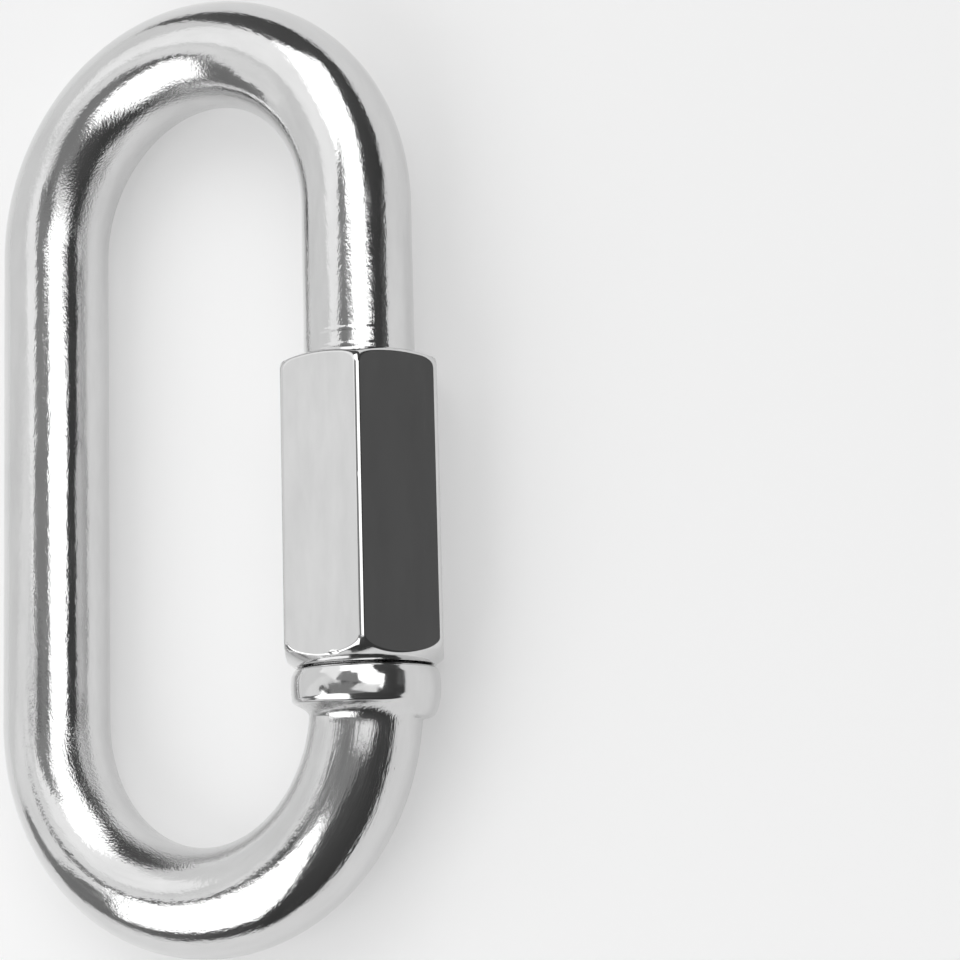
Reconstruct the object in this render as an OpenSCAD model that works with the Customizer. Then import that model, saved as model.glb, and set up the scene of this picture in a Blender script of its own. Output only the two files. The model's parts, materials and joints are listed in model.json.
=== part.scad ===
// Oval screw link, closed and lying at rest on a floor.
// A bent round rod makes the loop. Its two ends face each other across a gap in one leg,
// and a long hexagonal sleeve nut bridges them, run down against the stop collar.
// Millimetres. +Z is up, the long axis is Y, and the leg with the nut is on the +X side.
// Threads are drawn as plain cylinders at their mean radius.

/* [Rod and loop] */
// Diameter of the bent rod
rod_d = 8; // [6:0.5:10]
// Distance between the centre lines of the two legs
leg_distance = 27.5; // [26:0.5:40]
// Length of upper bend that the fully opened nut runs on to
bend_run = 2.4; // [0:0.2:2.4]

/* [Stop collar] */
// Height of the stop collar along the leg
collar_h = 2.7; // [2:0.1:4]
// Radial step from the rod to the widest part of the collar
collar_step = 1.3; // [1:0.05:1.6]
// How far the collar bulges between its two edges
collar_bulge = 0.15; // [0.05:0.05:0.25]
// Radius of the collar's rounded edges
collar_edge = 0.4; // [0.2:0.05:0.6]
// Length of collar that reaches past the leg, over the lower bend
collar_sink = 0.4; // [0:0.1:0.6]

/* [Threaded ends] */
// Radial step from the rod to the mean radius of the thread
thread_step = 0.575; // [0.5:0.025:0.7]
// Thread pitch
thread_pitch = 1; // [0.75, 1, 1.25]
// Length of the lower threaded end above the collar
lower_thread = 6.5; // [5:0.5:9]
// Length of the upper threaded end inside the nut
upper_thread = 7; // [5:0.5:9]
// Opening between the two ends
gap = 7.6; // [5:0.2:10]
// Chamfer on the tip of each end
tip_chamfer = 0.5; // [0.3:0.1:0.8]

/* [Sleeve nut] */
// Thickness of the nut between its bore and the middle of a flat
nut_wall = 0.925; // [0.9:0.025:2]
// Length of nut above the upper threaded end
nut_cover = 1; // [0.9:0.1:2]
// Angle of a nut corner from the upward normal of the loop, toward the outside
nut_turn = 30; // [0:5:55]
// Radius along the six long edges of the nut
corner_r = 0.5; // [0.4:0.05:1.2]
// Width of the flat ring at each end of the nut
end_rim = 0.375; // [0.3:0.025:0.5]
// Slope of the domed chamfer on the nut's upper end, at the middle of a flat, from the end face
upper_chamfer = 24; // [18:1:45]
// Slope of the domed chamfer on the nut's lower end, at the middle of a flat, from the end face
lower_chamfer = 40; // [18:1:45]

/* [Fits] */
// Radial clearance between the threaded ends and the nut
thread_clearance = 0.05; // [0.02:0.01:0.1]
// Distance between the closed nut and the collar
seat_clearance = 0.02; // [0.01:0.01:0.05]

/* [Hidden] */
$fn = 96;

// Overlap that makes two solids of one piece a single solid
bite = 0.2;
// How far the corner circles of the nut reach past its flats, so that the two cross
corner_lap = 0.002;
arc_steps = 12;

rod_r = rod_d / 2;
bend_r = leg_distance / 2;
thread_r = rod_r + thread_step;
collar_r = rod_r + collar_step;
bore_r = thread_r + thread_clearance;

nut_length = lower_thread + gap + upper_thread + nut_cover - seat_clearance;
// The nut opens by whole turns, until it has left the lower end
nut_travel = floor((lower_thread + gap) / thread_pitch) * thread_pitch;
leg_length = collar_h - collar_sink + seat_clearance + nut_length + nut_travel - bend_run;

// Places along the nut's leg, from the middle of the loop
leg_end_y = leg_length / 2;
collar_y = -leg_end_y - collar_sink;
seat_y = collar_y + collar_h;
lower_tip_y = seat_y + lower_thread;
upper_tip_y = lower_tip_y + gap;
upper_root_y = upper_tip_y + upper_thread;
nut_y = seat_y + seat_clearance;

// Outline of the nut: a hexagon with rounded corners, whose centres lie on one circle
nut_af = 2 * (bore_r + nut_wall);
corner_circle_r = (nut_af / 2 - corner_r + corner_lap) / cos(30);
nut_corner_r = corner_circle_r + corner_r;
nut_angles = [for (i = [0:5]) nut_turn + 60 * i];

// The link rests on its plain leg and on one corner of the nut. Each corner's tilt is the
// slope of the line that touches it and the plain leg from below, and the steepest one holds.
function corner_x(angle) = leg_distance + corner_circle_r * sin(angle);
function corner_drop(angle) = -corner_circle_r * cos(angle);
function corner_tilt(angle) =
    atan2(corner_drop(angle), corner_x(angle))
    - asin((rod_r - corner_r) / norm([corner_x(angle), corner_drop(angle)]));
tilt = max([for (a = nut_angles) corner_tilt(a)]);
lift = bend_r * sin(tilt) + rod_r;

// The origin is under the middle of the outline
outer_x = bend_r * cos(tilt) + corner_circle_r * max([for (a = nut_angles) sin(a - tilt)]) + corner_r;
inner_x = -bend_r * cos(tilt) - rod_r;
centre_x = (outer_x + inner_x) / 2;

// Lays the loop down at rest
module at_rest() {
    translate([-centre_x, 0, lift])
        rotate([0, -tilt, 0])
            children();
}

// Turns a shape that stands on Z to run along Y from the given place on a leg
module along_leg(x, y) {
    translate([x, y, 0])
        rotate([-90, 0, 0])
            children();
}

// Points of an arc from angle a0 to angle a1
function arc(cx, cy, r, a0, a1) =
    [for (i = [0:arc_steps]) let (a = a0 + (a1 - a0) * i / arc_steps) [cx + r * cos(a), cy + r * sin(a)]];

module bend() {
    rotate_extrude(angle = 180)
        translate([bend_r, 0])
            circle(rod_r);
}

// Half section of the collar, from its slope on the rod up to the seat
module collar_section() {
    edge_r = collar_r - collar_bulge;
    barrel_r = (pow(collar_h / 2, 2) + pow(collar_bulge, 2)) / (2 * collar_bulge);
    barrel_angle = asin((collar_h / 2 - collar_edge) / barrel_r);
    slope_h = edge_r - collar_edge - rod_r;
    polygon(concat(
        [[0, -slope_h - bite], [rod_r - bite, -slope_h - bite], [edge_r - collar_edge, 0]],
        arc(edge_r - collar_edge, collar_edge, collar_edge, -90, -barrel_angle),
        arc(collar_r - barrel_r, collar_h / 2, barrel_r, -barrel_angle, barrel_angle),
        arc(edge_r - collar_edge, collar_h - collar_edge, collar_edge, barrel_angle, 90),
        [[0, collar_h]]
    ));
}

// Lower end: stop collar, threaded stub and chamfered tip
module lower_end() {
    along_leg(bend_r, collar_y)
        rotate_extrude()
            collar_section();
    along_leg(bend_r, seat_y - bite)
        cylinder(h = lower_thread - tip_chamfer + bite, r = thread_r);
    along_leg(bend_r, lower_tip_y - tip_chamfer)
        cylinder(h = tip_chamfer, r1 = thread_r, r2 = thread_r - tip_chamfer);
}

// Upper end: chamfered tip, threaded part and the cone that takes it down to the rod
module upper_end() {
    cone_h = thread_r - rod_r;
    along_leg(bend_r, upper_tip_y)
        cylinder(h = tip_chamfer, r1 = thread_r - tip_chamfer, r2 = thread_r);
    along_leg(bend_r, upper_tip_y + tip_chamfer)
        cylinder(h = upper_thread - tip_chamfer - cone_h, r = thread_r);
    along_leg(bend_r, upper_root_y - cone_h)
        cylinder(h = cone_h, r1 = thread_r, r2 = rod_r);
    along_leg(bend_r, upper_root_y - cone_h)
        cylinder(h = leg_end_y - upper_root_y + cone_h, r = rod_r);
}

module link_body() {
    color("silver")
        at_rest() {
            along_leg(-bend_r, -leg_end_y)
                cylinder(h = leg_length, r = rod_r);
            translate([0, leg_end_y, 0])
                bend();
            translate([0, -leg_end_y, 0])
                rotate([0, 0, 180])
                    bend();
            lower_end();
            upper_end();
        }
}

// Rounded hexagon: a circle at each corner and crossed rectangles between them, inside the
// sharp hexagon
module nut_outline() {
    intersection() {
        rotate(nut_turn)
            circle(nut_af / 2 / cos(30), $fn = 6);
        for (a = nut_angles) {
            rotate(a + 30)
                square([nut_af + bite, corner_circle_r], center = true);
            rotate(a)
                translate([corner_circle_r, 0])
                    circle(corner_r);
        }
    }
}

// Half section of a rod as thick as an end dome, whose lower end is that dome
module domed_section(angle) {
    rim_r = bore_r + end_rim;
    dome_r = nut_af / 2 / sin(angle);
    dome_y = sqrt(pow(dome_r, 2) - pow(rim_r, 2));
    translate([0, dome_y]) {
        circle(dome_r);
        square([dome_r, nut_length]);
    }
}

// Half section of the turned blank: a dome at each end cuts the hexagon's corners back
module blank_section() {
    intersection() {
        square([nut_corner_r + bite, nut_length]);
        domed_section(lower_chamfer);
        translate([0, nut_length])
            mirror([0, 1])
                domed_section(upper_chamfer);
    }
}

module sleeve_nut() {
    color("lightgray")
        at_rest()
            along_leg(bend_r, nut_y)
                difference() {
                    intersection() {
                        linear_extrude(nut_length)
                            rotate(-90)
                                nut_outline();
                        rotate_extrude()
                            blank_section();
                    }
                    translate([0, 0, -bite])
                        cylinder(h = nut_length + 2 * bite, r = bore_r);
                }
}

link_body();
sleeve_nut();
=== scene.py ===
"""Looks of an oval screw link: polished steel loop, hexagonal sleeve nut, pale floor, studio."""

import json
import math

import bmesh
import bpy
from mathutils import Matrix, Vector


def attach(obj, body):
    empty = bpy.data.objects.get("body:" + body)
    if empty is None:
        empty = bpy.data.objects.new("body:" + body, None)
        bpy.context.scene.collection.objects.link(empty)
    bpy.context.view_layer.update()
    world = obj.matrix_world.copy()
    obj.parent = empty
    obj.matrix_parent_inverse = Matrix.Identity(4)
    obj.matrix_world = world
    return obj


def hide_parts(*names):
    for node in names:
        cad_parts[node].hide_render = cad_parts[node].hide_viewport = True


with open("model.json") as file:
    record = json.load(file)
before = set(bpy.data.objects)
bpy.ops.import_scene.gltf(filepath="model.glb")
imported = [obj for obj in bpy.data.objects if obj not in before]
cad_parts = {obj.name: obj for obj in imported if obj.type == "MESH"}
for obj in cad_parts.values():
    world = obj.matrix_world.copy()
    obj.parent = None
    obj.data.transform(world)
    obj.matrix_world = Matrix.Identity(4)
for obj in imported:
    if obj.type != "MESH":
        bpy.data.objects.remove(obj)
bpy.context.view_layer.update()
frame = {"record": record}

# Sizes are in millimetres and degrees, as in the CAD source. X points from the plain leg to the
# nut's leg, Y along the legs, Z up from the loop's plane.

# Rod and loop
ROD_R = 3.99
BEND_R = 13.75
LEG_END = 18.0
ROD_COLUMNS = 128
ROD_STEP = 0.45
ARC = math.pi * BEND_R
LOOP_LENGTH = 4 * LEG_END + 2 * ARC

# Stop collar. Rows of its seat are (height above the collar, radius beyond the neck), and rows of
# its foot are (depth below the collar, radius beyond the rod) as shares of the foot's width.
COLLAR_LOW = -18.4
COLLAR_HIGH = -15.74
COLLAR_R = 5.3
COLLAR_BULGE = 0.15
COLLAR_EDGE = 0.4
EDGE_STEPS = 10
BARREL_STEPS = 14
SEAT_ROWS = ((0.15, 0), (0.05, 0.01), (0.015, 0.04))
UNDERSIDE_END = -72
FOOT_ROWS = ((0.55, 0.42), (0.8, 0.2), (1.05, 0.06), (1.3, 0))

# Forging lip under the collar's outer side. Its middle, half span and fade are angles from the
# outward direction. Its end has rows of (depth below the collar, radius).
LIP_MIDDLE = -16
LIP_HALF = 30
LIP_FADE = 26
LIP_RISE = 0.35
LIP_STRETCH = 1.35
LIP_R = 4.4
LIP_ARC_END = -84
LIP_ROWS = ((0.70, 4.22), (0.75, 4.08), (0.82, 4.0))

# Threaded ends. Rows of a tip are (depth, radius), from its middle to its rounded rim.
LOWER_TIP = -9.2
UPPER_TIP = -1.6
UPPER_ROOT = 5.4
NECK_R = 4.5
NECK_RISE = 0.3
ROOT_FALL = 0.25
CREST_CLIMB = 0.55
TIP_FACE_R = 4.15
TIP_EDGE = 0.045
TIP_ROWS = ((0, 1.0), (0, 2.2), (0, 3.3), (0, 3.9), (0, TIP_FACE_R - 0.06),
            (0.012, TIP_FACE_R - 0.02), (TIP_EDGE, TIP_FACE_R + 0.02))

# Threads, with rows of their profile as (place within one pitch, radius). Rows nearer than
# THREAD_END to the end of a thread end on its last ring.
PITCH = 1.0
CREST_Y = -0.35
THREAD_END = 0.02
OUTER_THREAD = (
    (-0.50, 4.30), (-0.41, 4.30), (-0.355, 4.335), (-0.22, 4.60), (-0.09, 4.865), (-0.045, 4.90),
    (0.045, 4.90), (0.09, 4.865), (0.22, 4.60), (0.355, 4.335), (0.41, 4.30))
INNER_THREAD = (
    (-0.50, 4.38), (-0.40, 4.38), (-0.36, 4.405), (-0.23, 4.655), (-0.10, 4.915), (-0.05, 4.95),
    (0.05, 4.95), (0.10, 4.915), (0.23, 4.655), (0.36, 4.405), (0.40, 4.38))

# Sleeve nut
NUT_LOW = -15.62
NUT_HIGH = 6.4
NUT_AF = 11.09
NUT_CORNER = 0.5
NUT_RIM = 5.0
RIM_EDGE = 0.03
DOME_START = 0.02
NUT_TURN = 30
LOWER_CHAMFER = 40
UPPER_CHAMFER = 24
FLAT_FILLET = 0.28
CORNER_FILLET = 1.2
CORNER_REACH = 0.9
FLAT_STEPS = 20
CORNER_STEPS = 8
DOME_STEPS = 10
FILLET_STEPS = 8
WALL_START = 0.25
WALL_DEPTHS = (2.4, 3.4, 5.0)
WALL_STEP = 3
MOUTH_R = 4.8
MOUTH_LIP = 0.05
MOUTH_EDGE = 0.03
MOUTH_SLOPE = 0.4

# Rough inner side of the bends: the share of the upper bend that has it, how softly it ends along
# the rod, where it ends across the rod, and what is left of it beyond
UPPER_BEND_SHARE = 0.6
LOWER_BEND_FADE = 3.5
UPPER_BEND_FADE = 4
INNER_SIDE = (-3.2, -0.9)
OUTER_SHARE = 0.1

# Fibres under the collar: where they start and end to fade, from the end of the leg
FIBRES = (2, 16)

# Marks on the steel: heights of the two tool marks, and (centre, half size) of each nick
RING_MARKS = (6.85, 8.0)
RING_MARK_HALF = 0.13
RING_MARK_FADE = 0.1
DENT_EDGE = (0.2, 1.3)
NICKS = (
    ((3.05, 5.3, 2.7), (0.16, 0.16, 0.30)),
    ((3.05, 5.3, -2.9), (0.20, 0.20, 0.65)),
    ((0.9, 5.5, -15.05), (0.40, 0.16, 0.16)),
    ((3.0, 5.25, -8.1), (0.12, 0.12, 0.35)))

# Steel: size of grain of its clouds and streaks, how far the clouds change its grey, the part of
# a noise's range that is used, how rough a worked area is on top, and each noise's own place
CLOUD_SIZE = (1.6, 5)
CLOUD_DETAIL = 3
CLOUD_SHADE = 0.03
STREAK_SIZE = (0.35, 3.5)
STREAK_DETAIL = 4
NOISE_RANGE = (0.3, 0.7)
NOISE_ROUGHNESS = 0.55
WORKED_ROUGHNESS = 0.05
CLOUD_SEED = 11
STREAK_SEED = 23
BUMP_SEED = 3
SEED_PLACE = (1, 0.7, 1.3)

# Studio, in metres and radiance. The room has one brightness for each side: +X -X, +Y -Y, +Z -Z.
ROOM = ((0.05, 0.25), (0.08, 0.05), (0.11, 0))
BACKDROP = 0.9
FLOOR_HALF = 2
FLOOR_SHADE = 0.6
FLOOR_GLOW = 0.37
CARD_CUTS = 7
CARD_GAP = 0.98
FAR_DOME = 1.6
NEAR_DOME = 0.42

# Camera fitted to the photo's outline: turns about the loop's Z, X and Y in radians, and the
# middle of the loop as the camera sees it
CAMERA_TURNS = (0.028, -0.166, -0.512)
CAMERA_PLACE = (-20.439, 0.788, -194.596)
CAMERA_LENS = 98.586
CAMERA_SENSOR = 36
CAMERA_CLIP = 0.01


def loop_matrix():
    """Turns the loop's own millimetres into the frame's metres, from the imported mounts."""
    mounts = {m["name"]: m for m in frame["record"]["mounts"]}
    seats = [Vector(mounts[n]["pos_m"]) for n in ("upper_bow_seat", "lower_bow_seat")]
    up = Vector(mounts["nut_flat_upper"]["axis"]).normalized()
    along = Vector((0, 1, 0))
    axes = Matrix((along.cross(up), along, up)).transposed().to_4x4()
    return Matrix.Translation((seats[0] + seats[1]) / 2) @ axes @ Matrix.Scale(0.001, 4)


LOOP = loop_matrix()
# The same turn without the scale, for directions
LOOP_TURN = LOOP.to_3x3() * 1000


class Skin:
    """A closed mesh that grows ring by ring. All rings have the same columns."""

    def __init__(self, angles):
        self.angles = angles
        self.points, self.faces, self.finishes, self.grain, self.normals = [], [], [], [], {}

    def add(self, point, grain, normal=None):
        if normal is not None:
            self.normals[len(self.points)] = normal
        self.points.append(point)
        self.grain.append(grain)
        return len(self.points) - 1

    def face(self, corners, finish):
        corners = [c for k, c in enumerate(corners) if c != corners[k - 1]]
        if len(set(corners)) > 2:
            self.faces.append(corners)
            self.finishes.append(finish)

    def bridge(self, a, b, finish):
        for k in range(len(a)):
            self.face([a[k - 1], a[k], b[k], b[k - 1]], finish)

    def thread(self, low, high, place, y_low, y_high, profile, limit, finish):
        """Fills between two rings with rows along the helix, so that its edges stay sharp."""
        n, count = len(profile), len(self.angles)
        rows, k = [], math.floor(y_low - CREST_Y) - 1
        # The rows fall by one pitch round the rod, so they start before one end and go on
        # past the other
        while CREST_Y + (k - 2.5) * PITCH < y_high:
            for phase, radius in profile:
                start, row = CREST_Y + (k + phase) * PITCH, []
                for i, angle in enumerate(self.angles):
                    y = start - PITCH * angle / (2 * math.pi)
                    if y < y_low + THREAD_END:
                        row.append(low[i])
                    elif y > y_high - THREAD_END:
                        row.append(high[i])
                    else:
                        row.append(place(y, angle, limit(y, radius)))
                rows.append(row)
            k += 1

        def at(j, i):
            if i == count:
                i, j = 0, j - n
            return low[i] if j < 0 else high[i] if j >= len(rows) else rows[j][i]

        for j in range(-1, len(rows)):
            for i in range(count):
                self.face([at(j, i), at(j, i + 1), at(j + 1, i + 1), at(j + 1, i)], finish)

    def build(self, name, materials):
        mesh = bpy.data.meshes.new(name)
        mesh.from_pydata([LOOP @ Vector(p) for p in self.points], [], self.faces)
        for m in materials:
            mesh.materials.append(m)
        mesh.polygons.foreach_set("material_index", self.finishes)
        mesh.polygons.foreach_set("use_smooth", [True] * len(mesh.polygons))
        outward = bmesh.new()
        outward.from_mesh(mesh)
        bmesh.ops.recalc_face_normals(outward, faces=outward.faces)
        outward.to_mesh(mesh)
        outward.free()
        grain = mesh.attributes.new("grain", "FLOAT_VECTOR", "POINT")
        grain.data.foreach_set("vector", [c for g in self.grain for c in g])
        if self.normals:
            # Points without a normal of their own get Blender's
            mesh.normals_split_custom_set_from_vertices(
                [LOOP_TURN @ self.normals[k] if k in self.normals else (0, 0, 0)
                 for k in range(len(self.points))])
        piece = bpy.data.objects.new(name, mesh)
        bpy.context.scene.collection.objects.link(piece)
        return piece


def rows_of_arc(cy, cr, radius, a0, a1, steps):
    """(place, radius) rows of a rounded edge, by the angle from the outward direction."""
    angles = [math.radians(a0 + (a1 - a0) * k / steps) for k in range(steps + 1)]
    return [(cy + radius * math.sin(a), cr + radius * math.cos(a)) for a in angles]


def centre_line(s):
    """Centre of the rod and the outward direction.

    s runs along the rod, from the middle of the nut's leg down and round the loop."""
    if s <= LEG_END:
        return (BEND_R, -s), (1, 0)
    if s < LEG_END + ARC:
        a = -(s - LEG_END) / BEND_R
        return ((BEND_R * math.cos(a), BEND_R * math.sin(a) - LEG_END),
                (math.cos(a), math.sin(a)))
    if s <= 3 * LEG_END + ARC:
        return (-BEND_R, s - 2 * LEG_END - ARC), (-1, 0)
    if s < 3 * LEG_END + 2 * ARC:
        a = math.pi - (s - 3 * LEG_END - ARC) / BEND_R
        return ((BEND_R * math.cos(a), BEND_R * math.sin(a) + LEG_END),
                (math.cos(a), math.sin(a)))
    return (BEND_R, LOOP_LENGTH - s), (1, 0)


def lip_share(angle):
    """1 where the forging has left its lip, and fading to 0 on both sides."""
    away = abs(math.degrees(math.remainder(angle, 2 * math.pi)) - LIP_MIDDLE)
    share = min(max((LIP_HALF - away) / LIP_FADE + 0.5, 0), 1)
    return share * share * (3 - 2 * share)


def link_body(materials):
    skin = Skin([2 * math.pi * k / ROD_COLUMNS for k in range(ROD_COLUMNS)])
    rod, turned, thread = range(3)

    def vertex(s, angle, radius):
        (cx, cy), (ox, oy) = centre_line(s)
        c, z = radius * math.cos(angle), radius * math.sin(angle)
        return skin.add((cx + c * ox, cy + c * oy, z), (c, z, s))

    def ring(s, radius):
        return [vertex(s, a, radius) for a in skin.angles]

    def lipped(row, pushed):
        """A ring that follows one row, but the pushed row where the forging has left its lip."""
        out = []
        for a in skin.angles:
            share = lip_share(a)
            y, radius = (p + (q - p) * share for p, q in zip(row, pushed))
            out.append(vertex(-y, a, radius))
        return out

    def on_lower(y, angle, radius):
        return vertex(-y, angle, radius)

    def on_upper(y, angle, radius):
        return vertex(LOOP_LENGTH - y, angle, radius)

    def tip(s, inward):
        """Flat face of an end, from its middle to its rounded rim."""
        middle = vertex(s, 0, 0)
        rings = [ring(s + inward * depth, radius) for depth, radius in TIP_ROWS]
        for k in range(ROD_COLUMNS):
            skin.face([middle, rings[0][k - 1], rings[0][k]], turned)
        for a, b in zip(rings, rings[1:]):
            skin.bridge(a, b, turned)
        return rings[-1]

    # Lower end: tip, thread and neck
    neck_y = COLLAR_HIGH + NECK_RISE
    last = tip(-LOWER_TIP, 1)
    neck = ring(-neck_y, NECK_R)
    skin.thread(
        neck, last, on_lower, neck_y, LOWER_TIP - TIP_EDGE, OUTER_THREAD,
        lambda y, r: min(max(r, NECK_R - ROOT_FALL * (y - neck_y)),
                         NECK_R + CREST_CLIMB * (y - neck_y), TIP_FACE_R + LOWER_TIP - y),
        thread)

    # Collar: seat, rounded edge and barrel
    edge_r = COLLAR_R - COLLAR_BULGE
    half_height = (COLLAR_HIGH - COLLAR_LOW) / 2
    barrel_r = (half_height ** 2 + COLLAR_BULGE ** 2) / (2 * COLLAR_BULGE)
    barrel_a = math.degrees(math.asin((half_height - COLLAR_EDGE) / barrel_r))
    corner_r = edge_r - COLLAR_EDGE
    rows = [(COLLAR_HIGH + rise, NECK_R + step) for rise, step in SEAT_ROWS]
    rows += rows_of_arc(COLLAR_HIGH - COLLAR_EDGE, corner_r, COLLAR_EDGE, 90, barrel_a, EDGE_STEPS)
    rows += rows_of_arc(COLLAR_LOW + half_height, COLLAR_R - barrel_r, barrel_r,
                        barrel_a, -barrel_a, BARREL_STEPS)[1:]
    last = neck
    for y, radius in rows:
        new = ring(-y, radius)
        skin.bridge(last, new, turned)
        last = new

    # Underside of the collar, and its foot on the rod
    foot = corner_r - ROD_R
    rows = rows_of_arc(COLLAR_LOW + COLLAR_EDGE, corner_r, COLLAR_EDGE,
                       -barrel_a, UNDERSIDE_END, EDGE_STEPS)[1:]
    rows += [(COLLAR_LOW - foot * depth, ROD_R + foot * step) for depth, step in FOOT_ROWS]
    middle = COLLAR_LOW + LIP_RISE
    pushed = [(middle + LIP_STRETCH * (y - middle), radius) for y, radius in rows_of_arc(
        middle, LIP_R, edge_r - LIP_R, -barrel_a, LIP_ARC_END, EDGE_STEPS)[1:]]
    pushed += [(COLLAR_LOW - depth, radius) for depth, radius in LIP_ROWS]
    pushed.append(rows[-1])
    for row, lip_row in zip(rows, pushed):
        new = lipped(row, lip_row)
        skin.bridge(last, new, rod if row[0] < COLLAR_LOW else turned)
        last = new

    # Rod: lower bend, plain leg, upper bend, down to the thread
    start, stop = -rows[-1][0], LOOP_LENGTH - UPPER_ROOT
    steps = round((stop - start) / ROD_STEP)
    for k in range(1, steps + 1):
        new = ring(start + (stop - start) * k / steps, ROD_R)
        skin.bridge(last, new, rod)
        last = new

    # Upper end: cone, thread, tip
    end = tip(LOOP_LENGTH - UPPER_TIP, -1)
    skin.thread(
        end, last, on_upper, UPPER_TIP + TIP_EDGE, UPPER_ROOT, OUTER_THREAD,
        lambda y, r: min(r, ROD_R + UPPER_ROOT - y, TIP_FACE_R + y - UPPER_TIP), thread)
    return skin.build("link_body_steel", materials)


def hexagon(af, corner, turn, flat_steps, arc_steps):
    """Points and normals of a hexagon with rounded corners, in order of their polar angle."""
    reach = (af / 2 - corner) / math.cos(math.radians(30))
    out = []
    for k in range(6):
        mid = math.radians(turn + 60 * k)
        cx, cz = reach * math.cos(mid), reach * math.sin(mid)
        for i in range(arc_steps + 1):
            a = mid + math.radians(-30 + 60 * i / arc_steps)
            nx, nz = math.cos(a), math.sin(a)
            out.append((cx + corner * nx, cz + corner * nz, nx, nz))
        face = mid + math.radians(30)
        nx, nz = math.cos(face), math.sin(face)
        half = reach * math.sin(math.radians(30))
        for i in range(1, flat_steps):
            t = half * math.cos(math.pi * i / flat_steps)
            out.append((af / 2 * nx + t * nz, af / 2 * nz - t * nx, nx, nz))
    out.sort(key=lambda p: math.atan2(p[1], p[0]) % (2 * math.pi))
    return out


def nut_end_rings(side, outline, vertex):
    """Rings of one end of the nut's outside, from its rim to the wall."""
    base = NUT_LOW if side < 0 else NUT_HIGH
    chamfer = LOWER_CHAMFER if side < 0 else UPPER_CHAMFER
    dome_r = NUT_AF / 2 / math.sin(math.radians(chamfer))
    dome_y = math.sqrt(dome_r ** 2 - NUT_RIM ** 2)
    flat_half = (NUT_AF / 2 - NUT_CORNER) * math.tan(math.radians(30))
    columns = []
    for ox, oz, nx, nz in outline:
        reach = math.hypot(ox, oz)
        ux, uz = ox / reach, oz / reach

        def dome(radius):
            lean = radius / dome_r
            depth = dome_y - math.sqrt(dome_r ** 2 - radius ** 2)
            return depth, Vector((ux * lean, side * math.sqrt(1 - lean ** 2), uz * lean))

        # The fillet grows near the long edges, so each flat ends in rounded corners
        along_flat = math.sqrt(max(reach ** 2 - (NUT_AF / 2) ** 2, 0))
        near = min(max(1 - (flat_half - along_flat) / CORNER_REACH, 0), 1)
        fillet = FLAT_FILLET + (CORNER_FILLET - FLAT_FILLET) * (1 - math.sqrt(1 - near ** 2))
        corner_depth, corner_n = dome(reach)
        slope = math.atan2(corner_n.y * side, corner_n.x * ux + corner_n.z * uz)
        cut = fillet * math.tan(slope / 2)
        wall_n = Vector((nx, 0, nz))
        cells = [(0, NUT_RIM - RIM_EDGE, Vector((0, side, 0)))]
        dome_start = NUT_RIM + DOME_START
        for i in range(DOME_STEPS + 1):
            radius = dome_start + (reach - cut * math.sin(slope) - dome_start) * i / DOME_STEPS
            depth, n = dome(radius)
            cells.append((depth, radius, n))
        for i in range(1, FILLET_STEPS + 1):
            turn = slope * (1 - i / FILLET_STEPS)
            cells.append((corner_depth + cut - fillet * math.sin(turn),
                          reach - fillet + fillet * math.cos(turn),
                          corner_n.slerp(wall_n, i / FILLET_STEPS)))
        for depth in (corner_depth + cut + WALL_START, *WALL_DEPTHS):
            cells.append((depth, reach, wall_n))
        angle = math.atan2(oz, ox) % (2 * math.pi)
        columns.append([vertex(base - side * depth, angle, radius, n)
                        for depth, radius, n in cells])
    return [list(ring) for ring in zip(*columns)]


def sleeve_nut(materials):
    # The corner at NUT_TURN from the loop's upward normal toward the outside, seen along Y
    outline = hexagon(NUT_AF, NUT_CORNER, 90 - NUT_TURN, FLAT_STEPS, CORNER_STEPS)
    angles = [math.atan2(z, x) % (2 * math.pi) for x, z, _, _ in outline]
    skin = Skin(angles)
    face, end, bore = range(3)
    middle = (NUT_LOW + NUT_HIGH) / 2

    def vertex(y, angle, radius, normal=None):
        c, z = radius * math.cos(angle), radius * math.sin(angle)
        return skin.add((BEND_R + c, y, z), (c, z, y), normal)

    low, high = (nut_end_rings(side, outline, vertex) for side in (-1, 1))
    wall = [[vertex(y, a, math.hypot(ox, oz), Vector((nx, 0, nz)))
             for (ox, oz, nx, nz), a in zip(outline, angles)]
            for y in (middle - WALL_STEP, middle, middle + WALL_STEP)]
    mouth = []
    for base, side in ((NUT_LOW, -1), (NUT_HIGH, 1)):
        mouth.append([vertex(base, a, MOUTH_R + MOUTH_LIP, Vector((0, side, 0))) for a in angles])
        mouth.append([vertex(base - side * MOUTH_EDGE, a, MOUTH_R) for a in angles])
    rows = [mouth[0]] + low + wall + high[::-1] + [mouth[2]]
    end_rows = DOME_STEPS + 1
    for k, (a, b) in enumerate(zip(rows, rows[1:])):
        skin.bridge(a, b, face if end_rows < k < len(rows) - end_rows - 2 else end)
    skin.bridge(mouth[1], mouth[0], end)
    skin.bridge(mouth[3], mouth[2], end)

    def limit(y, r):
        depth = min(y - NUT_LOW, NUT_HIGH - y)
        return max(min(r, MOUTH_R + MOUTH_SLOPE * depth), MOUTH_R - depth)

    skin.thread(mouth[1], mouth[3], vertex, NUT_LOW + MOUTH_EDGE, NUT_HIGH - MOUTH_EDGE,
                INNER_THREAD, limit, bore)
    return skin.build("sleeve_nut_steel", materials)


def feed(tree, socket, value):
    """Sets a socket to a number, or links it to another socket."""
    if isinstance(value, (int, float)):
        socket.default_value = value
    else:
        tree.links.new(value, socket)


def maths(tree, operation, *values):
    node = tree.nodes.new("ShaderNodeMath")
    node.operation = operation
    for socket, value in zip(node.inputs, values):
        feed(tree, socket, value)
    return node.outputs[0]


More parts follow.
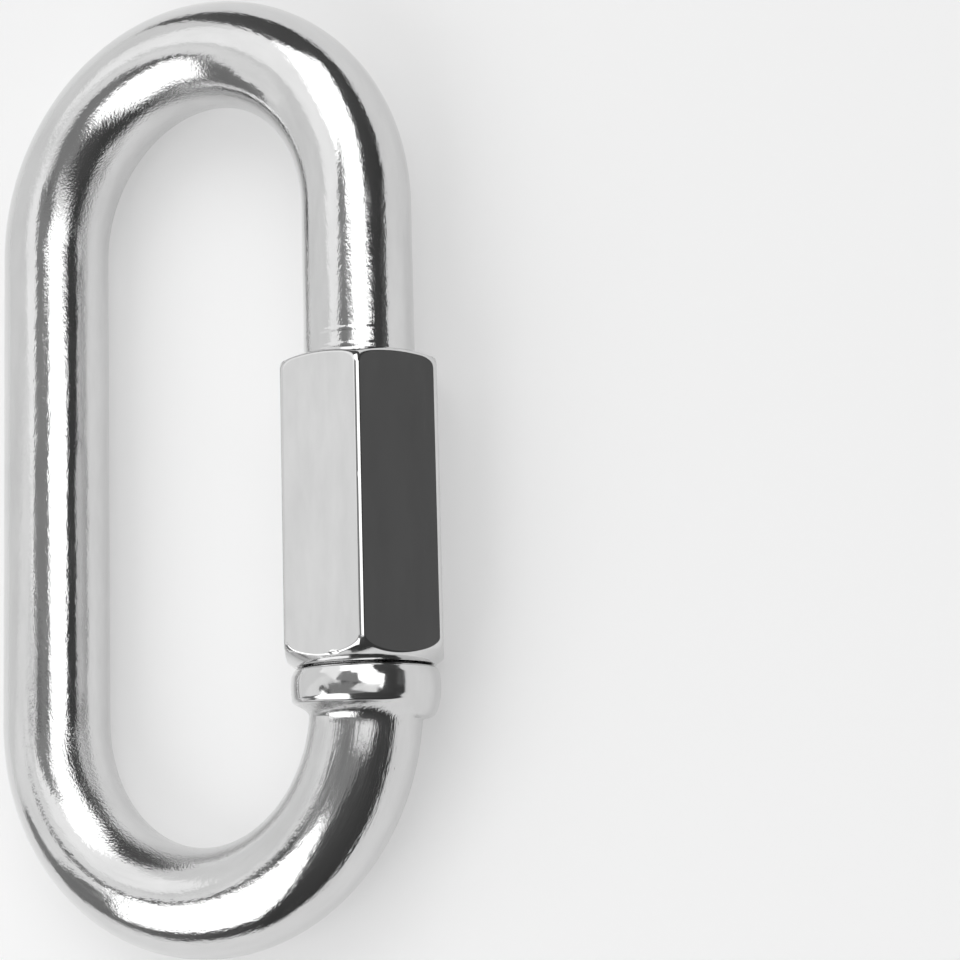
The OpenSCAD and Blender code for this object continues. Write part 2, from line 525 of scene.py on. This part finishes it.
def mixed(tree, share, low, high):
    node = tree.nodes.new("ShaderNodeMix")
    for socket, value in zip((node.inputs[0], node.inputs[2], node.inputs[3]), (share, low, high)):
        feed(tree, socket, value)
    return node.outputs[0]


def noise(tree, source, stretch, detail, seed):
    """A noise texture whose grains measure stretch, in mm, across and along the rod."""
    across, along = stretch
    place = tree.nodes.new("ShaderNodeMapping")
    place.inputs["Scale"].default_value = (1 / across, 1 / across, 1 / along)
    place.inputs["Location"].default_value = [seed * step for step in SEED_PLACE]
    grains = tree.nodes.new("ShaderNodeTexNoise")
    grains.inputs["Scale"].default_value = 1
    grains.inputs["Detail"].default_value = detail
    grains.inputs["Roughness"].default_value = NOISE_ROUGHNESS
    tree.links.new(source, place.inputs["Vector"])
    tree.links.new(place.outputs["Vector"], grains.inputs["Vector"])
    return grains.outputs["Fac"]


def bumped(tree, height, depth_mm, below=None):
    """One bump on top of another. Height runs from 0 to 1 over depth_mm."""
    bump = tree.nodes.new("ShaderNodeBump")
    bump.inputs["Strength"].default_value = 1
    bump.inputs["Distance"].default_value = depth_mm * 0.001
    tree.links.new(height, bump.inputs["Height"])
    if below is not None:
        tree.links.new(below, bump.inputs["Normal"])
    return bump.outputs["Normal"]


def ranged(tree, value, low, high, out_low, out_high):
    node = tree.nodes.new("ShaderNodeMapRange")
    node.interpolation_type = "SMOOTHSTEP"
    node.inputs["From Min"].default_value, node.inputs["From Max"].default_value = low, high
    node.inputs["To Min"].default_value, node.inputs["To Max"].default_value = out_low, out_high
    tree.links.new(value, node.inputs["Value"])
    return node.outputs["Result"]


def between(tree, value, start, end, fade):
    """1 from start to end, and fading to 0 on both sides."""
    rise = ranged(tree, value, start - fade, start + fade, 0, 1)
    return maths(tree, "MULTIPLY", rise, ranged(tree, value, end - fade, end + fade, 1, 0))


def bend_mask(tree, parts):
    """Where cold bending has roughened the rod: the inner side of the bends, near the plain leg."""
    s = parts.outputs["Z"]
    upper_start = 3 * LEG_END + ARC
    upper_end = upper_start + UPPER_BEND_SHARE * ARC
    lower = between(tree, s, LEG_END, LEG_END + ARC, LOWER_BEND_FADE)
    upper = between(tree, s, upper_start, upper_end, UPPER_BEND_FADE)
    inner = ranged(tree, parts.outputs["X"], *INNER_SIDE, 1, OUTER_SHARE)
    return maths(tree, "MULTIPLY", maths(tree, "ADD", lower, upper), inner)


def collar_mask(tree, parts):
    """Where forging the collar has left fibres along the rod."""
    start, end = (LEG_END + place for place in FIBRES)
    return ranged(tree, parts.outputs["Z"], start, end, 1, 0)


def ring_mask(tree, parts):
    """Two faint tool marks round the rod, just above the closed nut."""
    marks = [between(tree, parts.outputs["Z"], LOOP_LENGTH - y - RING_MARK_HALF,
                     LOOP_LENGTH - y + RING_MARK_HALF, RING_MARK_FADE) for y in RING_MARKS]
    return maths(tree, "ADD", *marks)


def nick_mask(tree, parts):
    """0 in the small dents on the nut's nearest long edge and on one lower edge, 1 elsewhere."""
    total = 1
    for centre, size in NICKS:
        away = 0
        for axis, at, half in zip("XYZ", centre, size):
            share = maths(tree, "DIVIDE", maths(tree, "SUBTRACT", parts.outputs[axis], at), half)
            away = maths(tree, "MULTIPLY_ADD", share, share, away)
        total = maths(tree, "MULTIPLY", total, ranged(tree, away, *DENT_EDGE, 0, 1))
    return total


def steel(name, grey, rough, bumps, seed, marks=()):
    """Polished steel of a mean grey, with its lowest and highest roughness.

    bumps holds (across mm, along mm, depth mm, detail, mask or None) for each layer of grain,
    and marks holds (mask, depth mm)."""
    material = bpy.data.materials.new(name)
    material.use_nodes = True
    tree = material.node_tree
    shader = tree.nodes["Principled BSDF"]
    shader.inputs["Metallic"].default_value = 1
    grain = tree.nodes.new("ShaderNodeAttribute")
    grain.attribute_name = "grain"
    source = grain.outputs["Vector"]
    parts = tree.nodes.new("ShaderNodeSeparateXYZ")
    tree.links.new(source, parts.inputs["Vector"])

    cloud = noise(tree, source, CLOUD_SIZE, CLOUD_DETAIL, seed + CLOUD_SEED)
    ramp = tree.nodes.new("ShaderNodeValToRGB")
    stops = ramp.color_ramp.elements
    for stop, place, shade in zip(stops, NOISE_RANGE, (grey - CLOUD_SHADE, grey + CLOUD_SHADE)):
        stop.position = place
        stop.color = (shade, shade, shade, 1)
    tree.links.new(cloud, ramp.inputs["Fac"])
    tree.links.new(ramp.outputs["Color"], shader.inputs["Base Color"])

    streaks = noise(tree, source, STREAK_SIZE, STREAK_DETAIL, seed + STREAK_SEED)
    roughness = ranged(tree, streaks, *NOISE_RANGE, *rough)
    normal = None
    masks = {}
    for k, (across, along, depth, detail, mask) in enumerate(bumps):
        height = noise(tree, source, (across, along), detail, seed + BUMP_SEED * k)
        if mask is not None:
            masks[mask] = mask(tree, parts)
            height = maths(tree, "MULTIPLY", height, masks[mask])
        normal = bumped(tree, height, depth, normal)
    # Worked areas are a little rougher
    for worked in masks.values():
        roughness = maths(tree, "MULTIPLY_ADD", worked, WORKED_ROUGHNESS, roughness)
    for mask, depth in marks:
        normal = bumped(tree, mask(tree, parts), depth, normal)
    tree.links.new(roughness, shader.inputs["Roughness"])
    tree.links.new(normal, shader.inputs["Normal"])
    return material


def sky_direction(east, north):
    """Direction of a place in the sky: 0, 0 is straight up, and 1 from there is the horizon."""
    down = math.hypot(east, north) * math.pi / 2
    turn = math.atan2(north, east)
    return Vector((math.sin(down) * math.cos(turn), math.sin(down) * math.sin(turn),
                   math.cos(down)))


def room():
    """Dim light from the six sides of the room, and a pale backdrop behind the floor."""
    world = bpy.data.worlds.new("room")
    bpy.context.scene.world = world
    world.use_nodes = True
    tree = world.node_tree
    parts = tree.nodes.new("ShaderNodeSeparateXYZ")
    around = tree.nodes.new("ShaderNodeTexCoord").outputs["Generated"]
    tree.links.new(around, parts.inputs["Vector"])
    light = 0
    for axis, pair in zip("XYZ", ROOM):
        for sign, value in zip((1, -1), pair):
            side = maths(tree, "MAXIMUM", maths(tree, "MULTIPLY", parts.outputs[axis], sign), 0)
            light = maths(tree, "MULTIPLY_ADD", maths(tree, "POWER", side, 2), value, light)
    seen = tree.nodes.new("ShaderNodeLightPath").outputs["Is Camera Ray"]
    background = tree.nodes["Background"]
    tree.links.new(mixed(tree, seen, light, BACKDROP), background.inputs["Strength"])
    background.inputs["Color"].default_value = (1, 1, 1, 1)


def glowing(name, shade, radiance):
    """A matt material that also gives off light of its own."""
    material = bpy.data.materials.new(name)
    material.use_nodes = True
    inputs = material.node_tree.nodes["Principled BSDF"].inputs
    inputs["Base Color"].default_value = (shade, shade, shade, 1)
    inputs["Roughness"].default_value = 1
    inputs["Specular IOR Level"].default_value = 0
    inputs["Emission Color"].default_value = (1, 1, 1, 1)
    inputs["Emission Strength"].default_value = radiance
    return material


def staged(name, mesh, material):
    """Puts a piece of the studio into the scene."""
    mesh.materials.append(material)
    sheet = bpy.data.objects.new(name, mesh)
    bpy.context.scene.collection.objects.link(sheet)
    return sheet


def card(name, distance, radiance, corners):
    """A soft box or a dim flag on a dome round the object. The camera doesn't see it."""
    shape = bmesh.new()
    shape.faces.new([shape.verts.new(sky_direction(*c)) for c in corners])
    bmesh.ops.triangulate(shape, faces=shape.faces[:])
    bmesh.ops.subdivide_edges(shape, edges=shape.edges[:], cuts=CARD_CUTS, use_grid_fill=True)
    for point in shape.verts:
        point.co = point.co.normalized() * distance
    mesh = bpy.data.meshes.new(name)
    shape.to_mesh(mesh)
    shape.free()
    staged(name, mesh, glowing(name, 0, radiance)).visible_camera = False


def floor():
    mesh = bpy.data.meshes.new("floor")
    corners = [(x * FLOOR_HALF, y * FLOOR_HALF, 0) for x, y in ((-1, -1), (1, -1), (1, 1), (-1, 1))]
    mesh.from_pydata(corners, [], [(0, 1, 2, 3)])
    staged("floor", mesh, glowing("floor_paper", FLOOR_SHADE, FLOOR_GLOW))


def camera():
    """The photo's viewpoint, given in the loop's own millimetres."""
    turn = Matrix.Identity(3)
    for angle, axis in zip(CAMERA_TURNS, "ZXY"):
        turn = turn @ Matrix.Rotation(angle, 3, axis)
    data = bpy.data.cameras.new("camera")
    data.lens = CAMERA_LENS
    data.sensor_width = CAMERA_SENSOR
    data.clip_start = CAMERA_CLIP
    eye = bpy.data.objects.new("camera", data)
    back = turn.transposed()
    place = Matrix.Translation(LOOP @ (back @ -Vector(CAMERA_PLACE)))
    eye.matrix_world = place @ LOOP_TURN.to_4x4() @ back.to_4x4()
    bpy.context.scene.collection.objects.link(eye)
    bpy.context.scene.camera = eye


camera()
bpy.context.scene.view_settings.view_transform = "Standard"
floor()
room()

# Soft boxes and flags as (name, radiance, corners in the sky). Each lies a little in front of the
# ones before it. The near ones give the upper and the lower bend different reflections.
FAR_CARDS = (
    ("panel", 0.83, (
        (-1.02, -0.14), (-0.43, -0.04), (-0.12, 0.01), (0.04, 0.30), (-0.05, 0.53),
        (-0.38, 0.67), (-0.60, 0.75), (-0.90, 0.77), (-1.10, 0.31))),
    ("panel_low", 0.94, (
        (-0.15, 0.20), (-0.89, -0.04), (-0.80, -0.15), (-0.76, -0.21), (-0.51, -0.11))),
    ("panel_middle", 1.14, (
        (-0.52, 0.27), (-0.53, 0.42), (-0.20, 0.61), (-0.03, 0.28), (-0.18, 0.04))),
    ("top_box", 1.9, (
        (-0.16, 0.59), (0.09, 0.71), (0.19, 0.76), (0.51, 0.12), (0.08, 0.17), (-0.15, 0.31))),
    ("side_box", 1.9, (
        (0.10, 0.14), (0.47, 0.19), (0.63, 0.17), (0.58, -0.08), (0.55, -0.07), (0.26, 0.02))),
    ("flag_high", 0.28, (
        (-0.20, 0.07), (-0.04, 0.23), (0.05, 0.32), (0.06, 0.21), (0.07, 0.04))),
    ("flag_side", 0.28, (
        (0.06, -0.06), (0.02, 0.18), (0.18, 0.15), (0.19, 0.03), (0.08, 0.03))),
    ("flag_low", 0.26, (
        (-0.35, 0.03), (0.02, 0.03), (0.22, -0.03), (0.31, -0.16), (0.0, -0.34), (-0.29, -0.13))),
    ("strip", 1.0, (
        (0.18, 0.01), (0.56, -0.02), (0.57, 0.01), (0.46, -0.17), (0.05, -0.06))),
    ("side_wall", 0.105, (
        (0.84, 0.00), (0.84, 0.33), (1.10, 0.40), (1.10, -0.05))),
    ("sweep", 0.85, (
        (-0.85, -0.43), (-0.69, -0.61), (-0.46, -0.81), (-0.15, -0.95), (-0.30, -1.20),
        (-0.90, -1.00), (-1.05, -0.65))),
)
NEAR_CARDS = (
    ("low_box", 1.9, (
        (-0.445, -0.05), (-0.565, -0.28), (-0.65, -0.47), (-0.48, -0.59), (-0.30, -0.69),
        (-0.14, -0.74), (-0.01, -0.61), (0.01, -0.28), (-0.11, -0.18), (-0.28, -0.15),
        (-0.345, -0.125))),
    ("low_rim", 0.10, (
        (-0.51, -0.03), (-0.445, 0.0), (-0.405, -0.01), (-0.33, -0.07), (-0.28, -0.11),
        (-0.28, -0.155), (-0.345, -0.13), (-0.41, -0.065), (-0.445, -0.05), (-0.50, -0.07))),
)
for distance, cards in ((FAR_DOME, FAR_CARDS), (NEAR_DOME, NEAR_CARDS)):
    for name, radiance, corners in cards:
        card(name, distance, radiance, corners)
        distance *= CARD_GAP

rod_steel = steel("rod_steel", 0.68, (0.05, 0.14), (
    (1.2, 6.0, 0.016, 1, None),
    (0.35, 0.8, 0.013, 2, None),
    (0.12, 0.20, 0.005, 2, None),
    (0.16, 0.22, 0.024, 2, bend_mask),
    (0.16, 2.5, 0.020, 2, collar_mask)), 1, ((ring_mask, 0.012),))
turned_steel = steel("turned_steel", 0.68, (0.07, 0.14), (
    (1.4, 0.9, 0.012, 1, None),
    (0.2, 0.15, 0.0015, 2, None)), 40)
thread_steel = steel("thread_steel", 0.62, (0.16, 0.30), ((0.25, 0.6, 0.004, 2, None),), 70)
nut_face = steel("nut_face_steel", 0.68, (0.03, 0.07), (
    (4, 9, 0.004, 1, None),
    (0.3, 1.0, 0.0006, 2, None)), 100, ((nick_mask, 0.05),))
nut_end = steel("nut_end_steel", 0.68, (0.05, 0.12), (
    (1.2, 1.2, 0.008, 1, None),
    (0.2, 0.2, 0.0012, 2, None)), 130, ((nick_mask, 0.05),))
nut_bore = steel("nut_bore_steel", 0.55, (0.2, 0.35), ((0.25, 0.6, 0.004, 2, None),), 160)

body = link_body([rod_steel, turned_steel, thread_steel])
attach(body, "link_body")
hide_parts("link_body")
nut = sleeve_nut([nut_face, nut_end, nut_bore])
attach(nut, "sleeve_nut")
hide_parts("sleeve_nut")
